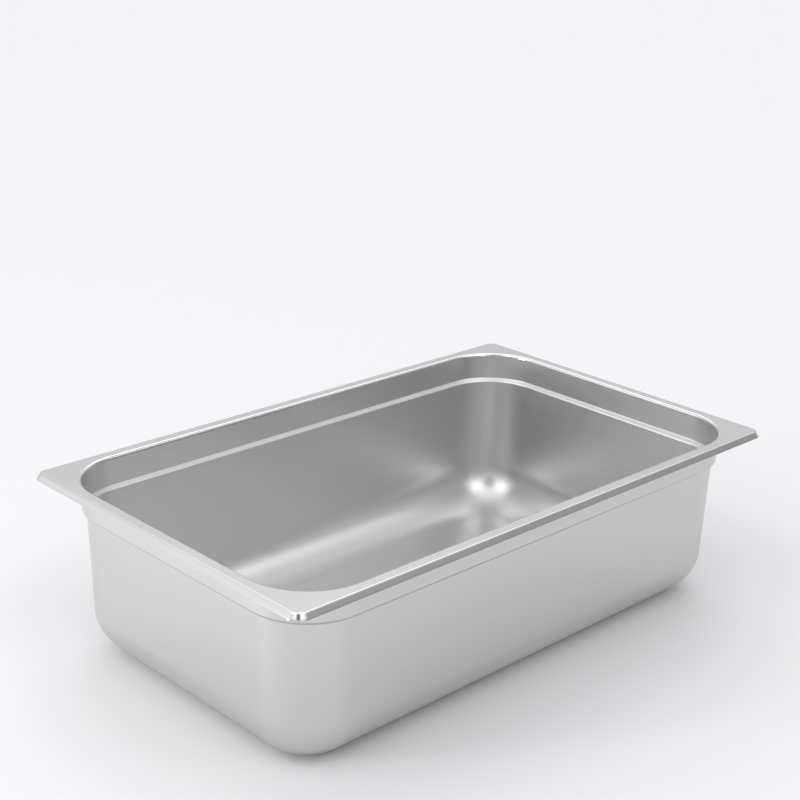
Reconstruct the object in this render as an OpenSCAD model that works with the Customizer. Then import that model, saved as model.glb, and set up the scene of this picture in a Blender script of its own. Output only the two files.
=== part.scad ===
// Full-size Gastronorm food pan, 150 mm deep, pressed from one sheet of stainless steel.
// The pan is one skin of constant thickness. Each module below is one zone of that skin,
// bounded by the lines where the press changes its direction, and zones meet face to face.
// Frame: origin at the centre of the base, on the surface that the pan stands on. X runs
// along the length, Y across the width, Z up. Front is the long side at -Y, left the end at -X.

/* [Pan] */
// Overall length over the turned-down edge
pan_length = 530; // [400:1:650]
// Overall width over the turned-down edge
pan_width = 325; // [265:1:530]
// Overall height, from the underside of the base to the top of the rim
pan_depth = 150; // [100:1:200]
// Thickness of the sheet
sheet = 0.8; // [0.6:0.1:1.0]

/* [Rim] */
// Distance from the outermost edge to the food side of the collar
rim_width = 14; // [12.5:0.5:20]
// Corner radius of the outermost edge
rim_corner_radius = 11; // [8:0.5:16]
// Radius of the roll from the collar to the rim, on its upper side
roll_radius = 2.6; // [1.5:0.1:4]
// Height from the top of the rim to the lowest point of the turned-down edge
lip_drop = 5.2; // [3.5:0.1:7]
// Slope of the turned-down edge, below horizontal
lip_angle = 58; // [45:1:75]
// Radius of the outer bend, on its upper side
lip_bend_radius = 1.4; // [1.1:0.1:2]

/* [Collar and shoulder] */
// Corner radius of the opening, on the food side of the collar
collar_corner_radius = 52; // [46:1:65]
// Height from the top of the rim down to the start of the stacking shoulder
collar_depth = 24; // [15:0.1:35]
// How far the shoulder steps in, on the food side
shoulder_step = 3.5; // [3:0.1:6]
// Slope of the shoulder, away from vertical
shoulder_angle = 52; // [40:1:60]
// Radius of the shoulder's two bends, on their hollow side
shoulder_bend_radius = 1.2; // [0.8:0.1:1.5]

/* [Basin] */
// Lean of the walls, away from vertical
wall_taper = 2; // [1:0.5:4]
// Radius between walls and base, on the food side
cove_radius = 38; // [20:1:40]

/* [Hidden] */
$fn = 96;

SATIN = [0.72, 0.72, 0.74];
SATIN_WALL = [0.68, 0.68, 0.70];
POLISHED = [0.86, 0.86, 0.88];

// Axes of the four vertical corners: every zone but the outer edge is concentric with them
corner_x = pan_length / 2 - rim_width - collar_corner_radius;
corner_y = pan_width / 2 - rim_width - collar_corner_radius;

// Unit vector at an angle, in the plane of the section
function unit(angle) = [cos(angle), sin(angle)];

// The section of the skin. First coordinate: distance out from the corner axis. Second: height.
// Points are on the food side unless named otherwise, from the rim down to the base.
collar_top = [collar_corner_radius, pan_depth - roll_radius];
roll_centre = collar_top + [roll_radius, 0];
flange_start = roll_centre[0];

collar_bottom = [collar_corner_radius, pan_depth - collar_depth];

upper_bend_centre = collar_bottom - [shoulder_bend_radius, 0];
shoulder_outer_radius = shoulder_bend_radius + sheet;
bends_step = shoulder_bend_radius * (1 - cos(shoulder_angle))
    + shoulder_outer_radius * (cos(wall_taper) - cos(shoulder_angle));
slope_length = (shoulder_step - bends_step) / sin(shoulder_angle);
bend_centres_apart = shoulder_bend_radius + shoulder_outer_radius;
lower_bend_centre = upper_bend_centre + bend_centres_apart * unit(-shoulder_angle)
    + slope_length * unit(-90 - shoulder_angle);
wall_top = lower_bend_centre + shoulder_outer_radius * unit(180 - wall_taper);

cove_centre_z = sheet + cove_radius;
wall_bottom_z = cove_centre_z - cove_radius * sin(wall_taper);
wall_bottom = [wall_top[0] - (wall_top[1] - wall_bottom_z) * tan(wall_taper), wall_bottom_z];
cove_centre = [wall_bottom[0] - cove_radius * cos(wall_taper), cove_centre_z];

// The turned-down edge, with its own smaller corner radius
lip_length = (lip_drop - lip_bend_radius * (1 - cos(lip_angle)) - sheet * cos(lip_angle))
    / sin(lip_angle);
lip_reach = lip_bend_radius * sin(lip_angle) + lip_length * cos(lip_angle);
lip_corner_radius = rim_corner_radius - lip_reach;
lip_corner_x = pan_length / 2 - rim_corner_radius;
lip_corner_y = pan_width / 2 - rim_corner_radius;
lip_bend_centre = [lip_corner_radius, pan_depth - lip_bend_radius];

// Part of a ring about the origin, between two radii and two angles at most 90 degrees apart
module bend(inner, outer, from, to) {
    reach = 2 * outer;
    intersection() {
        difference() {
            circle(r = outer);
            circle(r = inner);
        }
        polygon([[0, 0], reach * unit(from), reach * unit((from + to) / 2), reach * unit(to)]);
    }
}

// Straight run of sheet between two points of one face; the other face lies towards an angle
module run(start, end, towards) {
    polygon([start, end, end + sheet * unit(towards), start + sheet * unit(towards)]);
}

// Sides and corners, counted anticlockwise from the right end and from the back right corner
RIGHT = 0;
BACK = 1;
LEFT = 2;
FRONT = 3;
BACK_RIGHT = 0;
BACK_LEFT = 1;
FRONT_LEFT = 2;
FRONT_RIGHT = 3;

// Sweeps a section along one straight side
module along_side(side, x = corner_x, y = corner_y) {
    is_end = side == LEFT || side == RIGHT;
    offset_out = is_end ? x : y;
    half_run = is_end ? y : x;
    rotate([0, 0, 90 * side])
        translate([offset_out, half_run, 0])
            rotate([90, 0, 0])
                linear_extrude(height = 2 * half_run)
                    children();
}

// Where the axis of a corner stands, for axes at +-x and +-y
function corner_centre(corner, x, y) = [
    corner == BACK_RIGHT || corner == FRONT_RIGHT ? x : -x,
    corner == BACK_RIGHT || corner == BACK_LEFT ? y : -y
];

// Sweeps a section round one corner
module round_corner(corner, x = corner_x, y = corner_y) {
    translate(corner_centre(corner, x, y))
        rotate([0, 0, 90 * corner])
            rotate_extrude(angle = 90)
                children();
}

// Sweeps a section all the way round
module all_round(x = corner_x, y = corner_y) {
    for (k = [0:3]) {
        along_side(k, x, y)
            children();
        round_corner(k, x, y)
            children();
    }
}

// Rounded rectangle about the origin: a plain one between the corner axes, then at each corner
// a quarter disc and the strip along the side before it
module rounded_outline(x, y, radius) {
    square([2 * x, 2 * y], center = true);
    for (corner = [0:3]) {
        at_end = corner == BACK_RIGHT || corner == FRONT_LEFT;
        side_run = at_end ? 2 * y : 2 * x;
        translate(corner_centre(corner, x, y))
            rotate([0, 0, 90 * corner]) {
                intersection() {
                    circle(r = radius);
                    square(2 * radius);
                }
                translate([0, -side_run])
                    square([radius, side_run]);
            }
    }
}

// Large radius from the floor up into the walls
module cove_section() {
    translate(cove_centre)
        bend(cove_radius, cove_radius + sheet, -90, -wall_taper);
}

module cove_side(side) {
    color(SATIN)
        along_side(side)
            cove_section();
}

module cove_corner(corner) {
    color(SATIN)
        round_corner(corner)
            cove_section();
}

// Leaning wall between the cove and the shoulder
module wall_section() {
    run(wall_bottom, wall_top, -wall_taper);
}

module wall_side(side) {
    color(SATIN_WALL)
        along_side(side)
            wall_section();
}

module wall_corner(corner) {
    color(SATIN_WALL)
        round_corner(corner)
            wall_section();
}

// Flat floor of the basin, which the pan stands on
module base_panel() {
    color(SATIN)
        linear_extrude(height = sheet)
            rounded_outline(corner_x, corner_y, cove_centre[0]);
}

module cove_front() {
    cove_side(FRONT);
}

module cove_back() {
    cove_side(BACK);
}

module cove_left() {
    cove_side(LEFT);
}

module cove_right() {
    cove_side(RIGHT);
}

module cove_front_left() {
    cove_corner(FRONT_LEFT);
}

module cove_front_right() {
    cove_corner(FRONT_RIGHT);
}

module cove_back_left() {
    cove_corner(BACK_LEFT);
}

module cove_back_right() {
    cove_corner(BACK_RIGHT);
}

module wall_front() {
    wall_side(FRONT);
}

module wall_back() {
    wall_side(BACK);
}

module wall_left() {
    wall_side(LEFT);
}

module wall_right() {
    wall_side(RIGHT);
}

module corner_front_left() {
    wall_corner(FRONT_LEFT);
}

module corner_front_right() {
    wall_corner(FRONT_RIGHT);
}

module corner_back_left() {
    wall_corner(BACK_LEFT);
}

module corner_back_right() {
    wall_corner(BACK_RIGHT);
}

// Two opposite bends joined by a straight run, drawn about the upper bend's centre with the
// straight run upright
module shoulder_section() {
    bend(shoulder_bend_radius, shoulder_outer_radius, 0, shoulder_angle);
    translate([shoulder_bend_radius, -slope_length])
        square([sheet, slope_length]);
    translate([bend_centres_apart, -slope_length])
        bend(shoulder_bend_radius, shoulder_outer_radius, 180, 180 + shoulder_angle - wall_taper);
}

// Inward step that a second pan hangs on when pans are stacked
module stacking_shoulder() {
    color(SATIN)
        all_round()
            translate(upper_bend_centre)
                rotate([0, 0, -shoulder_angle])
                    shoulder_section();
}

// Upright band between the shoulder and the rim
module collar() {
    color(SATIN)
        all_round()
            run(collar_bottom, collar_top, 0);
}

// Flat rim with the roll at its inner edge
module rim_flange() {
    color(POLISHED) {
        all_round()
            translate(roll_centre)
                bend(roll_radius - sheet, roll_radius, 90, 180);
        translate([0, 0, pan_depth - sheet])
            linear_extrude(height = sheet)
                difference() {
                    rounded_outline(lip_corner_x, lip_corner_y, lip_corner_radius);
                    rounded_outline(corner_x, corner_y, flange_start);
                }
    }
}

// The outer bend and the straight run below it, drawn about the bend's centre with the straight
// run upright
module lip_section() {
    bend(lip_bend_radius - sheet, lip_bend_radius, 0, lip_angle);
    translate([lip_bend_radius - sheet, -lip_length])
        square([sheet, lip_length]);
}

// Edge turned down and outwards, which stiffens the rim
module rim_lip() {
    color(POLISHED)
        all_round(lip_corner_x, lip_corner_y)
            translate(lip_bend_centre)
                rotate([0, 0, 90 - lip_angle])
                    lip_section();
}

base_panel();
cove_front();
cove_back();
cove_left();
cove_right();
cove_front_left();
cove_front_right();
cove_back_left();
cove_back_right();
wall_front();
wall_back();
wall_left();
wall_right();
corner_front_left();
corner_front_right();
corner_back_left();
corner_back_right();
stacking_shoulder();
collar();
rim_flange();
rim_lip();
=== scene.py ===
import math

import bpy
from mathutils import Matrix, Vector


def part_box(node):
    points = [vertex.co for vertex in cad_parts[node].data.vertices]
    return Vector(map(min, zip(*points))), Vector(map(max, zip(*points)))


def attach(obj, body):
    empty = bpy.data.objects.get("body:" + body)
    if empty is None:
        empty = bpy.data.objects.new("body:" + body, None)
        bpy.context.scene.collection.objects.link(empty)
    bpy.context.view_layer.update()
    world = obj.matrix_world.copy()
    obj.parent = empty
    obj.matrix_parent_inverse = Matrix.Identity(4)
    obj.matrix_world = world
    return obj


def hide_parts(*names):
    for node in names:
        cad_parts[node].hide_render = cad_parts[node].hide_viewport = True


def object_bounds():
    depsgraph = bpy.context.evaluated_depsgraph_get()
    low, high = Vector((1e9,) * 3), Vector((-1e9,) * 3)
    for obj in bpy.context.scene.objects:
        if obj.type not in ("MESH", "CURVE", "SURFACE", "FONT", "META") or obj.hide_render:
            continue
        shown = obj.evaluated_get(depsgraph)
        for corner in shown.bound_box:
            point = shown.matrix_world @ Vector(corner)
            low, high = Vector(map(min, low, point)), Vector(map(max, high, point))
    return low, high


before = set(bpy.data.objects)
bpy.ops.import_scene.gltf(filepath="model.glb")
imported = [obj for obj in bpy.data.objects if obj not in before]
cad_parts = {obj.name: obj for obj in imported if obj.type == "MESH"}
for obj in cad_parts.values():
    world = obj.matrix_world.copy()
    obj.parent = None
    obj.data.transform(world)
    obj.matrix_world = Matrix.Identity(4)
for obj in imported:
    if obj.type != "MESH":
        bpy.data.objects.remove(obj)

cad_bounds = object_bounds()

# ---------------------------------------------------------------------------------------------
# Sizes. Places come from the CAD frame; the values below are the bends between those places.
# ---------------------------------------------------------------------------------------------

MM = 0.001

WALL_TAPER = math.radians(2)
SHOULDER_ANGLE = math.radians(52)
SHOULDER_BEND = 1.2 * MM
LIP_ANGLE = math.radians(58)
LIP_BEND = 1.4 * MM
RIM_CORNER = 11 * MM
CUT_EDGE_ROUND = 0.18 * MM

SIDE_STEP = 8 * MM
CORNER_STEPS = 44
FIRST_TURN = math.radians(0.3)  # a very small turn at both ends of a bend, so that shading runs on
SHARP_ANGLE = math.radians(35)
MERGE_GRID = 1e7  # points to a metre: corners on the same point of this grid are one

quarter = math.pi / 2

half_length, half_width, height = cad_bounds[1]
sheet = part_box("base_panel")[1].z
corner_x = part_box("wall_front")[1].x
corner_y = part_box("wall_left")[1].y
collar_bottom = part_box("collar")[0].z
collar_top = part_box("collar")[1].z
collar_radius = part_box("collar")[1].x - sheet - corner_x
roll_radius = height - collar_top
wall_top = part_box("wall_front")[1].z
cove_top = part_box("cove_front")[1].z
lip_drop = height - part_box("rim_lip")[0].z


def direction(angle):
    """Unit vector in the plane of the skin's section: distance out from the corner axis, height."""
    return Vector((math.cos(angle), math.sin(angle)))


# The section's points, on the food side
roll_centre = Vector((collar_radius + roll_radius, collar_top))
upper_bend_centre = Vector((collar_radius - SHOULDER_BEND, collar_bottom))
slope_top = upper_bend_centre + SHOULDER_BEND * direction(-SHOULDER_ANGLE)
slope_rise = (
    slope_top.y - wall_top
    - (SHOULDER_BEND + sheet) * (math.sin(SHOULDER_ANGLE) - math.sin(WALL_TAPER))
)
slope_length = slope_rise / math.cos(SHOULDER_ANGLE)
slope_bottom = slope_top + slope_length * direction(-quarter - SHOULDER_ANGLE)
lower_bend_centre = slope_bottom + (SHOULDER_BEND + sheet) * direction(-SHOULDER_ANGLE)
wall_top_point = lower_bend_centre + (SHOULDER_BEND + sheet) * direction(math.pi - WALL_TAPER)
wall_lean = (wall_top - cove_top) * math.tan(WALL_TAPER)
wall_foot_point = Vector((wall_top_point.x - wall_lean, cove_top))
cove_radius = (cove_top - sheet) / (1 - math.sin(WALL_TAPER))
cove_centre = Vector((wall_foot_point.x - cove_radius * math.cos(WALL_TAPER), sheet + cove_radius))

lip_bend_drop = LIP_BEND * (1 - math.cos(LIP_ANGLE))
lip_length = (lip_drop - lip_bend_drop - sheet * math.cos(LIP_ANGLE)) / math.sin(LIP_ANGLE)
lip_reach = LIP_BEND * math.sin(LIP_ANGLE) + lip_length * math.cos(LIP_ANGLE)
lip_corner_radius = RIM_CORNER - lip_reach
lip_corner_x = half_length - RIM_CORNER
lip_corner_y = half_width - RIM_CORNER
lip_bend_centre = Vector((lip_corner_radius, height - LIP_BEND))
lip_top = lip_bend_centre + LIP_BEND * direction(quarter - LIP_ANGLE)

# ---------------------------------------------------------------------------------------------
# The section as rows. A row is one line along the skin: a point on the food side, the direction
# through the sheet, how far both faces are drawn in, and where its corner axes are.
# ---------------------------------------------------------------------------------------------

INNER_AXES = (corner_x, corner_y)
OUTER_AXES = (lip_corner_x, lip_corner_y)


def row(point, through, axes=INNER_AXES, drawn_in=0.0):
    return {"point": point, "through": through, "axes": axes, "drawn_in": drawn_in}


def bend(centre, radius, start, end, steps, towards_centre, axes=INNER_AXES):
    """Rows round a bend, from one angle to another."""
    turn = math.copysign(FIRST_TURN, end - start)
    inner = [start + turn + (end - start - 2 * turn) * k / steps for k in range(steps + 1)]
    rows = []
    for angle in [start, *inner, end]:
        outward = direction(angle)
        rows.append(row(centre + radius * outward, -outward if towards_centre else outward, axes))
    return rows


def straight(start, end, through_angle, steps, axes=INNER_AXES):
    through = direction(through_angle)
    return [row(start.lerp(end, k / steps), through, axes) for k in range(steps + 1)]


def flat_rim(steps):
    """Rows from the outer bend in to the roll, where the corner axes change from outer to inner."""
    rows = []
    for k in range(steps + 1):
        share = k / steps
        distance = lip_corner_radius + (roll_centre.x - lip_corner_radius) * share
        axes = tuple(a + (b - a) * share for a, b in zip(OUTER_AXES, INNER_AXES))
        rows.append(row(Vector((distance, height)), Vector((0, -1)), axes))
    return rows


def cut_edge():
    """Rows of the lip's rounded cut edge, from the very edge up to full thickness."""
    along = direction(-LIP_ANGLE)
    lip_end = lip_top + lip_length * along
    through = direction(-quarter - LIP_ANGLE)
    rows = []
    for degrees in (0, 30, 60):
        angle = math.radians(degrees)
        back = CUT_EDGE_ROUND * (1 - math.cos(angle))
        drawn_in = CUT_EDGE_ROUND * (1 - math.sin(angle))
        rows.append(row(lip_end - back * along, through, OUTER_AXES, drawn_in))
    return rows


lip_full = lip_top + (lip_length - CUT_EDGE_ROUND) * direction(-LIP_ANGLE)

SECTIONS = {
    "lip": cut_edge()
    + straight(lip_full, lip_top, -quarter - LIP_ANGLE, steps=3, axes=OUTER_AXES)[:-1]
    + bend(
        lip_bend_centre, LIP_BEND, quarter - LIP_ANGLE, quarter,
        steps=8, towards_centre=True, axes=OUTER_AXES,
    ),
    "flange": flat_rim(steps=6)[:-1]
    + bend(roll_centre, roll_radius, quarter, math.pi, steps=12, towards_centre=True),
    "collar": straight(
        Vector((collar_radius, collar_top)), Vector((collar_radius, collar_bottom)), 0, steps=5
    ),
    "shoulder": bend(
        upper_bend_centre, SHOULDER_BEND, 0, -SHOULDER_ANGLE, steps=6, towards_centre=False
    )
    + straight(slope_top, slope_bottom, -SHOULDER_ANGLE, steps=2)[1:-1]
    + bend(
        lower_bend_centre, SHOULDER_BEND + sheet, math.pi - SHOULDER_ANGLE, math.pi - WALL_TAPER,
        steps=6, towards_centre=True,
    ),
    "wall": straight(wall_top_point, wall_foot_point, -WALL_TAPER, steps=11),
    "cove": bend(cove_centre, cove_radius, -WALL_TAPER, -quarter, steps=26, towards_centre=False),
    "floor_edge": straight(
        Vector((cove_centre.x, sheet)), Vector((0, sheet)), -quarter, steps=2
    ),
}

# ---------------------------------------------------------------------------------------------
# Stations: places round the pan. A station is the corner-axis signs and the outward direction.
# ---------------------------------------------------------------------------------------------


def corner_stations(corner):
    """Stations round one corner, counted anticlockwise from the back right one."""
    start = corner * quarter
    sign_x, sign_y = ((1, 1), (-1, 1), (-1, -1), (1, -1))[corner]
    turned = quarter - 2 * FIRST_TURN
    turns = [FIRST_TURN + turned * k / CORNER_STEPS for k in range(CORNER_STEPS + 1)]
    return [
        (sign_x, sign_y, math.cos(start + turn), math.sin(start + turn))
        for turn in [0.0, *turns, quarter]
    ]


def side_stations(side):
    """Stations along one side, counted anticlockwise from the right end."""
    corner = (side - 1) % 4
    start = corner_stations(corner)[-1]
    end = corner_stations(side)[0]
    run = 2 * (corner_y if side % 2 == 0 else corner_x)
    steps = round(run / SIDE_STEP)
    return [
        tuple(a + (b - a) * k / steps for a, b in zip(start, end)) for k in range(steps + 1)
    ]


def all_round_stations():
    stations = []
    for corner in range(4):
        stations += corner_stations(corner)[:-1]
        stations += side_stations((corner + 1) % 4)[:-1]
    return stations


def place(station, line, face):
    """Where a row meets a station, on the food side (face 0) or on the outer side (face 1)."""
    sign_x, sign_y, out_x, out_y = station
    depth = line["drawn_in"] if face == 0 else sheet - line["drawn_in"]
    distance, z = line["point"] + depth * line["through"]
    axis_x, axis_y = line["axes"]
    return (sign_x * axis_x + out_x * distance, sign_y * axis_y + out_y * distance, z)


class Skin:
    """Collects faces with shared corners and makes a closed mesh of them."""

    def __init__(self):
        self.points = []
        self.index = {}
        self.faces = []

    def corner(self, point):
        key = tuple(round(c * MERGE_GRID) for c in point)
        if key not in self.index:
            self.index[key] = len(self.points)
            self.points.append(point)
        return self.index[key]

    def face(self, *points):
        corners = []
        for point in points:
            corner = self.corner(point)
            if corner not in corners:
                corners.append(corner)
        if len(corners) > 2:
            self.faces.append(corners)

    def sweep(self, rows, stations, closed, close_start=True, close_end=True):
        """Both faces of the sheet along the rows, and its edges where nothing follows."""
        count = len(stations)
        last = count if closed else count - 1
        grid = [
            [[place(s, line, face) for s in stations] for line in rows] for face in (0, 1)
        ]
        for face in (0, 1):
            for i in range(len(rows) - 1):
                upper, lower = grid[face][i], grid[face][i + 1]
                for j in range(last):
                    k = (j + 1) % count
                    quad = (upper[j], upper[k], lower[k], lower[j])
                    self.face(*(quad if face == 0 else quad[::-1]))
        food, outer = grid
        for i, wanted in ((0, close_start), (len(rows) - 1, close_end)):
            if wanted:
                for j in range(last):
                    k = (j + 1) % count
                    quad = (food[i][j], outer[i][j], outer[i][k], food[i][k])
                    self.face(*(quad if i == 0 else quad[::-1]))
        if not closed:
            for j in (0, count - 1):
                for i in range(len(rows) - 1):
                    quad = (food[i][j], food[i + 1][j], outer[i + 1][j], outer[i][j])
                    self.face(*(quad if j == 0 else quad[::-1]))

    def grid(self, xs, ys, z, upward):
        for x0, x1 in zip(xs, xs[1:]):
            for y0, y1 in zip(ys, ys[1:]):
                quad = ((x0, y0, z), (x1, y0, z), (x1, y1, z), (x0, y1, z))
                self.face(*(quad if upward else quad[::-1]))

    def build(self, name, material):
        mesh = bpy.data.meshes.new(name)
        mesh.from_pydata(self.points, [], self.faces)
        mesh.validate()
        mesh.materials.append(material)
        mesh.polygons.foreach_set("use_smooth", [True] * len(mesh.polygons))
        mesh.set_sharp_from_angle(angle=SHARP_ANGLE)
        piece = bpy.data.objects.new(name, mesh)
        bpy.context.scene.collection.objects.link(piece)
        return piece


# ---------------------------------------------------------------------------------------------
# Materials
# ---------------------------------------------------------------------------------------------


ROUGHNESS_SPREAD = 0.02


def steel(name, tint, roughness, line_depth, wave_height):
    """Stainless steel: slow waves in the sheet, fine brushing and a slightly uneven sheen."""
    material = bpy.data.materials.new(name)
    material.use_nodes = True
    nodes = material.node_tree.nodes
    links = material.node_tree.links
    shader = nodes["Principled BSDF"]
    shader.inputs["Metallic"].default_value = 1.0
    shader.inputs["Base Color"].default_value = (*tint, 1.0)

    coordinates = nodes.new("ShaderNodeTexCoord")

    def noise(scale, detail, stretch=(1, 1, 1)):
        mapping = nodes.new("ShaderNodeMapping")
        mapping.inputs["Scale"].default_value = stretch
        links.new(coordinates.outputs["Object"], mapping.inputs["Vector"])
        texture = nodes.new("ShaderNodeTexNoise")
        texture.inputs["Scale"].default_value = scale
        texture.inputs["Detail"].default_value = detail
        links.new(mapping.outputs["Vector"], texture.inputs["Vector"])
        return texture.outputs["Fac"]

    def bump(height, distance, under=None):
        node = nodes.new("ShaderNodeBump")
        node.inputs["Distance"].default_value = distance
        links.new(height, node.inputs["Height"])
        if under:
            links.new(under, node.inputs["Normal"])
        return node.outputs["Normal"]

    spread = nodes.new("ShaderNodeMapRange")
    spread.inputs["From Min"].default_value = 0.3
    spread.inputs["From Max"].default_value = 0.7
    spread.inputs["To Min"].default_value = roughness - ROUGHNESS_SPREAD
    spread.inputs["To Max"].default_value = roughness + ROUGHNESS_SPREAD
    uneven_sheen = noise(scale=16, detail=3, stretch=(1, 1, 4))
    links.new(uneven_sheen, spread.inputs["Value"])
    links.new(spread.outputs["Result"], shader.inputs["Roughness"])

    waved = bump(noise(scale=10, detail=0), wave_height)
    brushed = bump(noise(scale=25, detail=2, stretch=(1, 1, 30)), line_depth, under=waved)
    links.new(brushed, shader.inputs["Normal"])
    return material


satin = steel(
    "satin steel", tint=(0.636, 0.631, 0.625), roughness=0.34,
    line_depth=0.003 * MM, wave_height=0.25 * MM,
)
bright = steel(
    "bright rim steel", tint=(0.625, 0.620, 0.615), roughness=0.19,
    line_depth=0.001 * MM, wave_height=0.15 * MM,
)

# ---------------------------------------------------------------------------------------------
# The pan's skin, one piece for each zone of the CAD part
# ---------------------------------------------------------------------------------------------

SIDES = {"right": 0, "back": 1, "left": 2, "front": 3}
CORNERS = {"back_right": 0, "back_left": 1, "front_left": 2, "front_right": 3}
pieces = []


def finish_piece(skin, node, material):
    piece = skin.build(node + "_skin", material)
    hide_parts(node)
    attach(piece, "root")
    pieces.append(piece)


def ring_piece(node, section, material):
    skin = Skin()
    skin.sweep(SECTIONS[section], all_round_stations(), closed=True)
    finish_piece(skin, node, material)


for name, side in SIDES.items():
    for node, section in (("wall_" + name, "wall"), ("cove_" + name, "cove")):
        skin = Skin()
        skin.sweep(SECTIONS[section], side_stations(side), closed=False)
        finish_piece(skin, node, satin)

for name, corner in CORNERS.items():
    for node, section in (("corner_" + name, "wall"), ("cove_" + name, "cove")):
        skin = Skin()
        skin.sweep(SECTIONS[section], corner_stations(corner), closed=False)
        finish_piece(skin, node, satin)

ring_piece("stacking_shoulder", "shoulder", satin)
ring_piece("collar", "collar", satin)
ring_piece("rim_flange", "flange", bright)
ring_piece("rim_lip", "lip", bright)

floor_skin = Skin()
floor_skin.sweep(SECTIONS["floor_edge"], all_round_stations(), closed=True, close_end=False)
columns = [corner_x * s[0] for s in side_stations(SIDES["front"])]
lines_across = [corner_y * s[1] for s in side_stations(SIDES["right"])]
for z, upward in ((sheet, True), (0.0, False)):
    floor_skin.grid(columns, lines_across, z, upward)
finish_piece(floor_skin, "base_panel", satin)

# ---------------------------------------------------------------------------------------------
# Studio: pale floor, soft boxes, pale room
# ---------------------------------------------------------------------------------------------


def plain_material(name, tint, roughness):
    material = bpy.data.materials.new(name)
    material.use_nodes = True
    shader = material.node_tree.nodes["Principled BSDF"]
    shader.inputs["Base Color"].default_value = (*tint, 1.0)
    shader.inputs["Roughness"].default_value = roughness
    return material


FLOOR_SIZE = 60
FLOOR_GAP = 0.2 * MM
PAN_MIDDLE = Vector((0, 0, 0.08))

bpy.ops.mesh.primitive_plane_add(size=FLOOR_SIZE, location=(0, 0, -FLOOR_GAP))
floor = bpy.context.object
floor.name = "floor"
floor.data.materials.append(plain_material("pale floor", tint=(0.68, 0.68, 0.68), roughness=0.8))


def towards(azimuth, elevation, distance):
    """A point seen from the pan's middle: azimuth is counted anticlockwise from the pan's right."""
    a, e = math.radians(azimuth), math.radians(elevation)
    flat = math.cos(e)
    return PAN_MIDDLE + distance * Vector((math.cos(a) * flat, math.sin(a) * flat, math.sin(e)))


def soft_box(name, place_at, width, length, power):
    """A rectangular light that faces the pan's middle."""
    data = bpy.data.lights.new(name, "AREA")
    data.shape = "RECTANGLE"
    data.size = width
    data.size_y = length
    data.energy = power
    light = bpy.data.objects.new(name, data)
    light.location = place_at
    light.rotation_euler = (PAN_MIDDLE - place_at).to_track_quat("-Z", "Y").to_euler()
    bpy.context.scene.collection.objects.link(light)


soft_box("left soft box", towards(160, 7, 1.6), width=0.22, length=0.4, power=9)
soft_box("right front strip", towards(252, 9, 1.8), width=0.15, length=0.4, power=1)

# The room's brightness from the horizon up, as (sine of the elevation, brightness)
ROOM_BRIGHTNESS = (
    (0.0, 0.7), (0.3, 0.78), (0.4, 0.86), (0.5, 1.12), (0.62, 2.2), (0.76, 2.8), (0.9, 1.5), (1.0, 1.2)
)
BRIGHTEST = max(brightness for sine, brightness in ROOM_BRIGHTNESS)
ROOM_TINT = (0.992, 0.992, 1.018, 1)

# Round patches of the room in degrees, as (azimuth, elevation, full inside, nothing outside, amount)
GLOW_AT_THE_LEFT = (130, 18, 12, 30, 0.38)
DIMMED_PATCHES = (
    (224, 44, 9, 20, 0.08),  # a dark gap above the camera, mirrored by the lip's front corner
    (310, 5, 20, 42, 0.55),  # low at the front right, mirrored by the lip's front side
    (345, 47, 12, 28, 0.35),  # mirrored by the back of the shoulder
    (105, 47, 12, 28, 0.38),  # mirrored by the right of the shoulder
)


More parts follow.
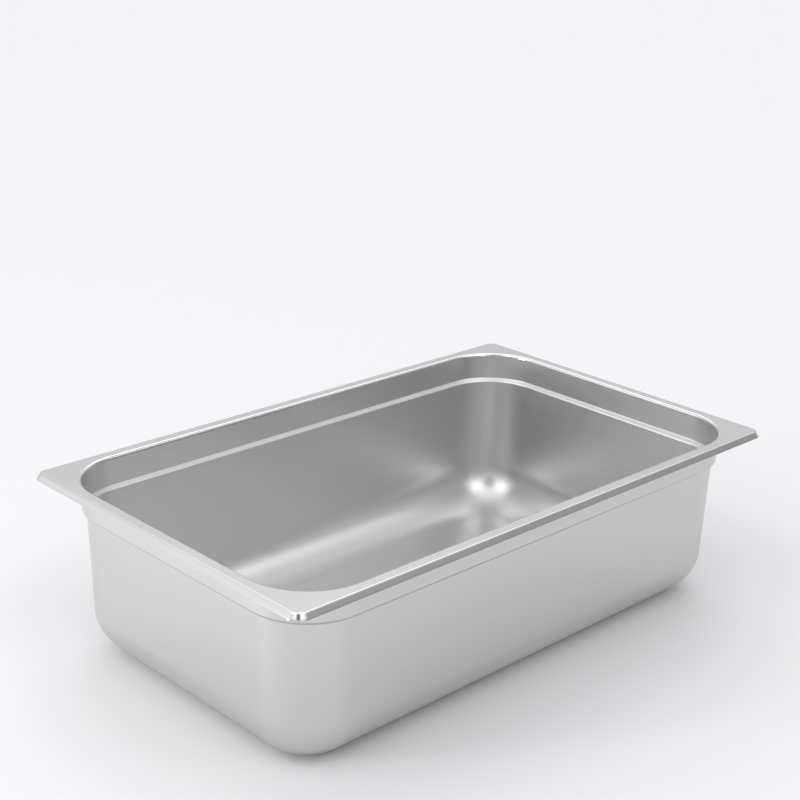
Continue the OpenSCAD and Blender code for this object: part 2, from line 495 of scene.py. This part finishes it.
def surroundings():
    """Pale room: walls, a ring of brighter ceiling, a glow at the left and a few dimmed patches."""
    world = bpy.data.worlds.new("pale studio")
    world.use_nodes = True
    nodes = world.node_tree.nodes
    links = world.node_tree.links
    coordinates = nodes.new("ShaderNodeTexCoord").outputs["Generated"]
    parts = nodes.new("ShaderNodeSeparateXYZ")
    links.new(coordinates, parts.inputs["Vector"])
    room = nodes.new("ShaderNodeValToRGB")
    stops = room.color_ramp.elements
    for k, (sine, brightness) in enumerate(ROOM_BRIGHTNESS):
        stop = stops[k] if k < 2 else stops.new(sine)
        stop.position = sine
        stop.color = (*[brightness / BRIGHTEST] * 3, 1)
    links.new(parts.outputs["Z"], room.inputs["Fac"])

    def near(azimuth, elevation, inner, outer, inside, outside):
        """A value inside an angle about a direction, which fades to another value outside."""
        facing = nodes.new("ShaderNodeVectorMath")
        facing.operation = "DOT_PRODUCT"
        facing.inputs[1].default_value = towards(azimuth, elevation, 1) - PAN_MIDDLE
        links.new(coordinates, facing.inputs[0])
        fade = nodes.new("ShaderNodeMapRange")
        fade.interpolation_type = "SMOOTHSTEP"
        fade.inputs["From Min"].default_value = math.cos(math.radians(outer))
        fade.inputs["From Max"].default_value = math.cos(math.radians(inner))
        fade.inputs["To Min"].default_value = outside
        fade.inputs["To Max"].default_value = inside
        links.new(facing.outputs["Value"], fade.inputs["Value"])
        return fade.outputs["Result"]

    def combine(operation, a, b):
        node = nodes.new("ShaderNodeMath")
        node.operation = operation
        for socket, value in zip(node.inputs, (a, b)):
            if isinstance(value, float):
                socket.default_value = value
            else:
                links.new(value, socket)
        return node.outputs["Value"]

    level = combine("MULTIPLY", room.outputs["Color"], BRIGHTEST)
    level = combine("ADD", level, near(*GLOW_AT_THE_LEFT, outside=0.0))
    for patch in DIMMED_PATCHES:
        level = combine("MULTIPLY", level, near(*patch, outside=1.0))
    links.new(level, nodes["Background"].inputs["Strength"])
    nodes["Background"].inputs["Color"].default_value = ROOM_TINT
    return world


bpy.context.scene.world = surroundings()

# ---------------------------------------------------------------------------------------------
# Camera: it stands at the pan's front left corner, above the rim, and looks across the basin
# ---------------------------------------------------------------------------------------------

CAMERA_PLACE = Vector((-0.8646, -0.8711, 0.6401))
CAMERA_HEADING = math.radians(45.86)
CAMERA_DOWN = math.radians(19.98)
CAMERA_ROLL = math.radians(1.53)
SENSOR_WIDTH = 36
FOCAL_LENGTH = 71.72

camera_data = bpy.data.cameras.new("camera")
camera_data.sensor_width = SENSOR_WIDTH
camera_data.lens = FOCAL_LENGTH
camera = bpy.data.objects.new("camera", camera_data)
turn = (
    Matrix.Rotation(CAMERA_HEADING - quarter, 4, "Z")
    @ Matrix.Rotation(quarter - CAMERA_DOWN, 4, "X")
    @ Matrix.Rotation(CAMERA_ROLL, 4, "Z")
)
camera.matrix_world = Matrix.Translation(CAMERA_PLACE) @ turn
bpy.context.scene.collection.objects.link(camera)
bpy.context.scene.camera = camera

bpy.context.scene.view_settings.view_transform = "Standard"
